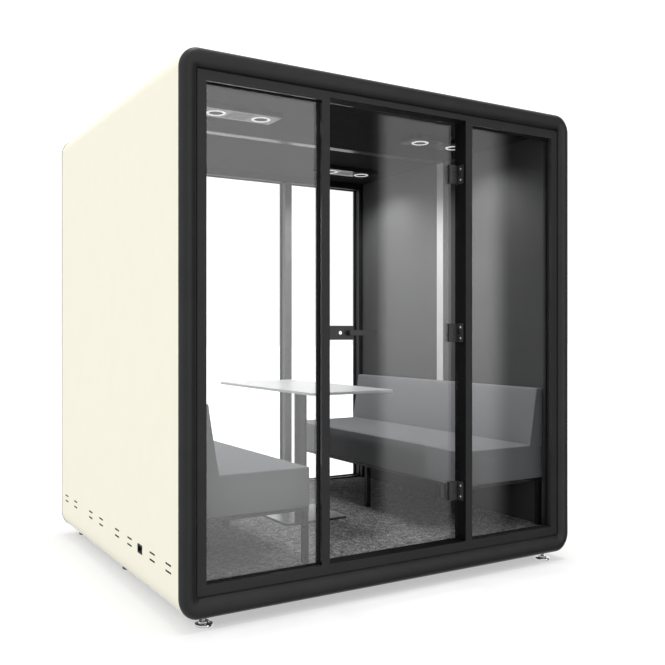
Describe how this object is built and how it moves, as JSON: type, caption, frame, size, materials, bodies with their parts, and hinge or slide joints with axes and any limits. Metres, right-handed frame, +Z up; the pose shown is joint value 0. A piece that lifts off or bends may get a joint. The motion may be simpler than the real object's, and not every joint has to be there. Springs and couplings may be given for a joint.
{
  "type": "acoustic office pod",
  "caption": "Free-standing acoustic meeting pod with bullnose frames, glazed front and back, a hinged glass door with lever lock, facing benches, a table and ring-light ceiling units.",
  "frame": {"origin": "on the floor under the middle of the pod, at the underside of its feet", "axes": "+X to the right along the glazed front as seen from outside, +Y from the door front to the back, +Z up"},
  "size_m": [2.132, 1.926, 2.299],
  "materials": {
    "charcoal_frame": "satin",
    "clear_glass": "gloss",
    "cream_shell": "satin",
    "black_plastic": "matte",
    "platform_timber": "matte",
    "carpet_pile": "matte",
    "felt_lining": "matte",
    "acoustic_core": "matte",
    "pale_strip": "matte",
    "chrome_foot": "polished",
    "black_hardware": "satin",
    "bench_fabric": "matte",
    "grey_steel": "satin",
    "white_laminate": "satin",
    "lamp_white": "satin"
  },
  "bodies": {
    "pod": {"front_frame": "charcoal_frame", "rear_frame": "charcoal_frame", "front_glazing_frame": "charcoal_frame", "rear_glazing_frame": "charcoal_frame", "door_head": "charcoal_frame", "front_glass_left": "clear_glass", "front_glass_right": "clear_glass", "rear_glass_left": "clear_glass", "rear_glass_centre": "clear_glass", "rear_glass_right": "clear_glass", "left_side_panel": "cream_shell", "right_side_panel": "cream_shell", "power_inlet": "black_plastic", "roof_panel": "cream_shell", "base_tray": "charcoal_frame", "floor_platform": "platform_timber", "carpet": "carpet_pile", "ceiling_lining": "felt_lining", "roof_core": "acoustic_core", "right_wall_lining": "felt_lining", "left_wall_lining": "felt_lining", "right_wall_core": "acoustic_core", "left_wall_core": "acoustic_core", "right_joint_strip": "pale_strip", "left_joint_strip": "pale_strip", "ceiling_joint_strip": "pale_strip", "foot_front_left": "chrome_foot", "foot_front_right": "chrome_foot", "foot_middle_left": "chrome_foot", "foot_middle_right": "chrome_foot", "foot_rear_left": "chrome_foot", "foot_rear_right": "chrome_foot", "hinge_leaf_bottom": "black_hardware", "hinge_leaf_middle": "black_hardware", "hinge_leaf_top": "black_hardware", "strike_plate": "chrome_foot", "bench_seat_left": "bench_fabric", "bench_back_left": "bench_fabric", "bench_frame_left": "grey_steel", "bench_seat_right": "bench_fabric", "bench_back_right": "bench_fabric", "bench_frame_right": "grey_steel", "table_top": "white_laminate", "table_base": "grey_steel", "table_column": "grey_steel", "ceiling_unit_front_left": "lamp_white", "ceiling_unit_front_right": "lamp_white", "ceiling_unit_rear_left": "lamp_white", "ceiling_unit_rear_right": "lamp_white"},
    "door": {"door_glass": "clear_glass", "hinge_clamp_bottom": "black_hardware", "hinge_clamp_middle": "black_hardware", "hinge_clamp_top": "black_hardware", "lock_case": "black_hardware", "lock_back_plate": "black_hardware"},
    "lever": {"door_lever": "black_hardware"},
    "bolt": {"latch_bolt": "chrome_foot"},
    "key": {"key_plug": "chrome_foot"},
    "supply_rotor": {"supply_fan": "black_plastic"},
    "exhaust_rotor": {"exhaust_fan": "black_plastic"}
  },
  "joints": [
    {"name": "door_swing", "type": "hinge", "parent": "pod", "child": "door", "pos_m": [0.356, -0.883, 1.175], "axis": [0, 0, 1], "range_deg": [0, 90]},
    {"name": "lever_turn", "type": "hinge", "parent": "door", "child": "lever", "pos_m": [-0.255, -0.883, 1.175], "axis": [0, 1, 0], "range_deg": [0, 40], "stiffness_Nm_per_rad": 1.5, "springref_deg": -17.19},
    {"name": "latch_slide", "type": "slide", "parent": "door", "child": "bolt", "axis": [1, 0, 0], "range_m": [0, 0.0034]},
    {"name": "key_turn", "type": "hinge", "parent": "door", "child": "key", "pos_m": [-0.303, -0.897, 1.175], "axis": [0, 1, 0], "range_deg": [0, 90]},
    {"name": "supply_fan_spin", "type": "hinge", "parent": "pod", "child": "supply_rotor", "pos_m": [-0.588, -0.462, 2.197], "axis": [0, 0, 1], "continuous": true},
    {"name": "exhaust_fan_spin", "type": "hinge", "parent": "pod", "child": "exhaust_rotor", "pos_m": [0.588, 0.462, 2.197], "axis": [0, 0, 1], "continuous": true}
  ],
  "couplings": [
    {"joint": "latch_slide", "follows": "lever_turn", "m_per_rad": 0.00487}
  ]
}
